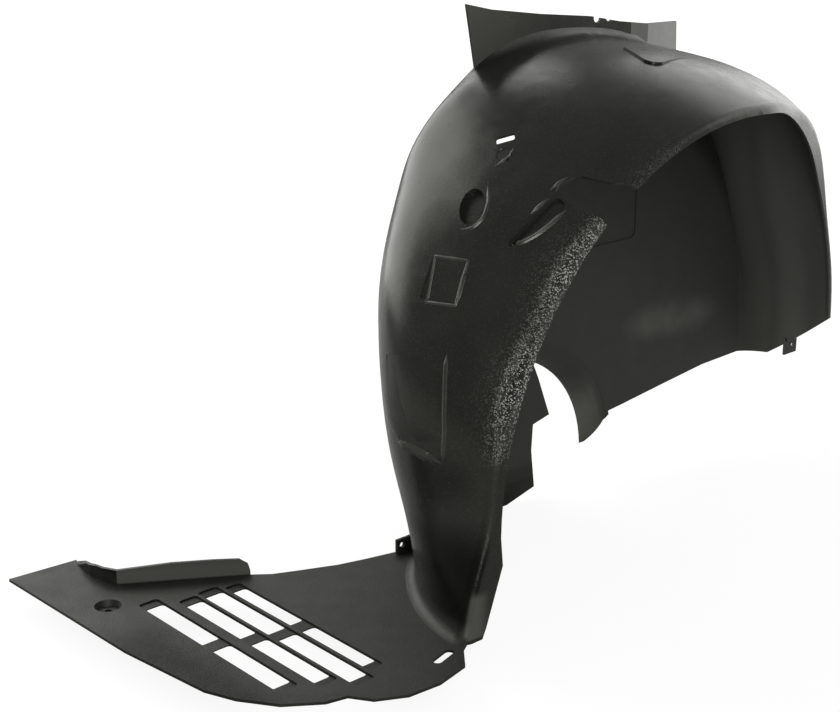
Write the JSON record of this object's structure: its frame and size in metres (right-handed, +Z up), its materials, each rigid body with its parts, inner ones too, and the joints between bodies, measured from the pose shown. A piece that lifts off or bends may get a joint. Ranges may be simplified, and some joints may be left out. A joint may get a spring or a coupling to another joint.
{
  "type": "wheel arch liner",
  "caption": "Moulded plastic wheel arch liner: rolled-edge arch over the wheel, inboard wall, upstand on top and a flat slotted tongue in front.",
  "frame": {"origin": "seat of the screw hole in the tongue, in the middle of the floor of its dish", "axes": "+X rearwards along the car, +Y inboard, +Z up; the wheel centre is at 0.605, -0.292, 0.100 m"},
  "size_m": [1.048, 0.446, 0.579],
  "materials": {
    "liner_plastic": "satin, fine moulded grain"
  },
  "bodies": {
    "root": {"arch_liner": "liner_plastic"}
  },
  "joints": []
}
